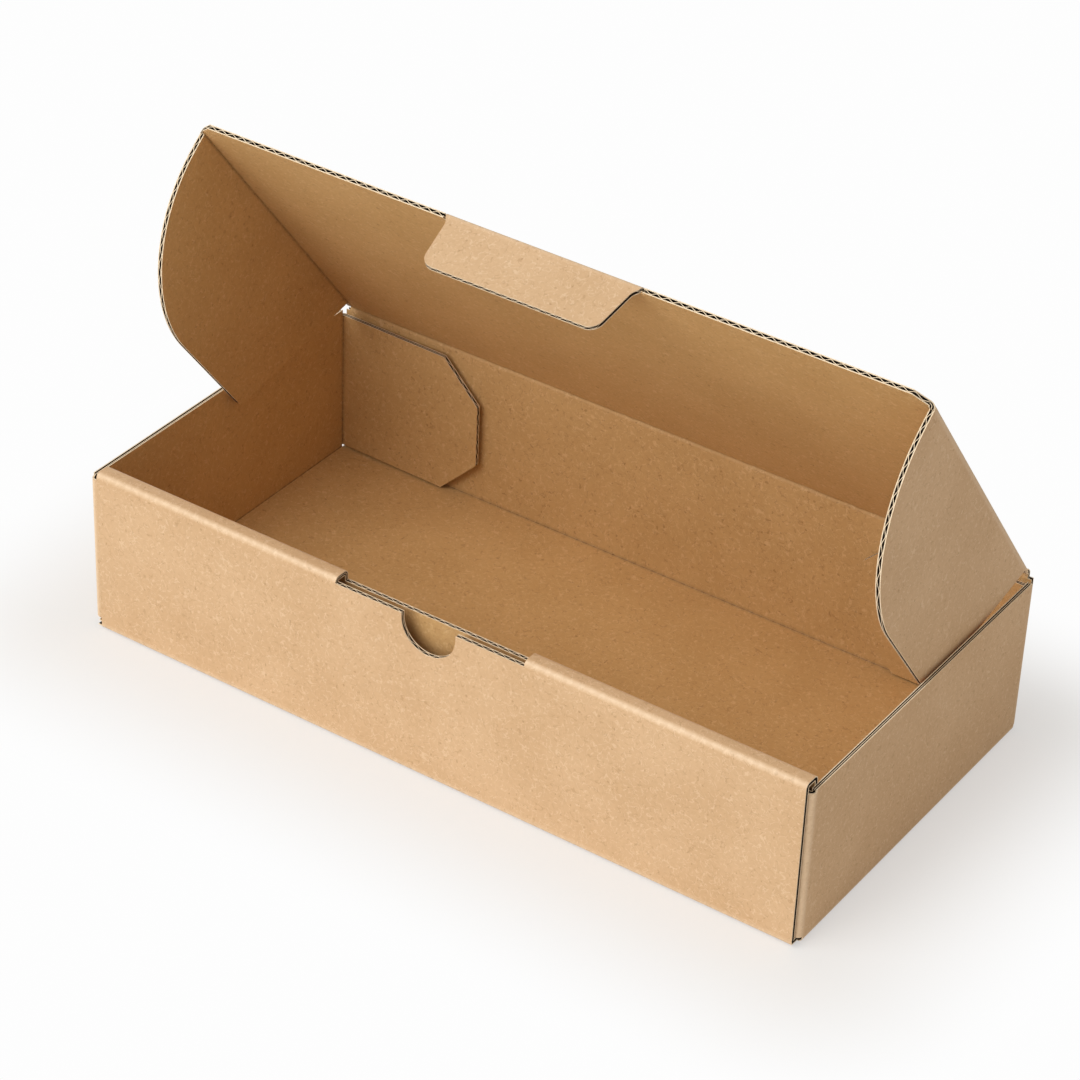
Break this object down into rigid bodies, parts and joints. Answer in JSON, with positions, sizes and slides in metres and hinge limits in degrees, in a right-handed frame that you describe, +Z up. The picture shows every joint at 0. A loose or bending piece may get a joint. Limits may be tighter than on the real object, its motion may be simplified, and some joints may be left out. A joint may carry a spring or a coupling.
{
  "type": "corrugated mailer box",
  "caption": "Shallow kraft corrugated mailer box with a rolled front wall, half-open hinged lid, curved dust flaps and a tuck tab for the front slot.",
  "frame": {"origin": "centre of the tray's footprint, on the surface that the box stands on", "axes": "+X along the box's length to the right, the front wall with the slot faces -Y, +Z up"},
  "size_m": [0.24, 0.122, 0.1459],
  "materials": {
    "kraft_board": "matte"
  },
  "bodies": {
    "tray": {"tray": "kraft_board"},
    "lid": {"lid_panel": "kraft_board"},
    "left_flap": {"left_dust_flap": "kraft_board"},
    "right_flap": {"right_dust_flap": "kraft_board"},
    "tab": {"tuck_tab": "kraft_board"}
  },
  "joints": [
    {"name": "lid_hinge", "type": "hinge", "parent": "tray", "child": "lid", "pos_m": [0, 0.06025, 0.05185], "axis": [-1, 0, 0], "range_deg": [-50.5, 128]},
    {"name": "left_flap_fold", "type": "hinge", "parent": "lid", "child": "left_flap", "pos_m": [-0.1161, 0.02272, 0.09867], "axis": [0, -0.6157, 0.788], "range_deg": [0, 85]},
    {"name": "right_flap_fold", "type": "hinge", "parent": "lid", "child": "right_flap", "pos_m": [0.1161, 0.02272, 0.09867], "axis": [0, 0.6157, -0.788], "range_deg": [0, 85]},
    {"name": "tab_fold", "type": "hinge", "parent": "lid", "child": "tab", "pos_m": [0, -0.01268, 0.14519], "axis": [1, 0, 0], "range_deg": [-62.5, 24.8]}
  ],
  "couplings": [
    {"joint": "tab_fold", "follows": "lid_hinge", "ratio": -0.48515}
  ]
}
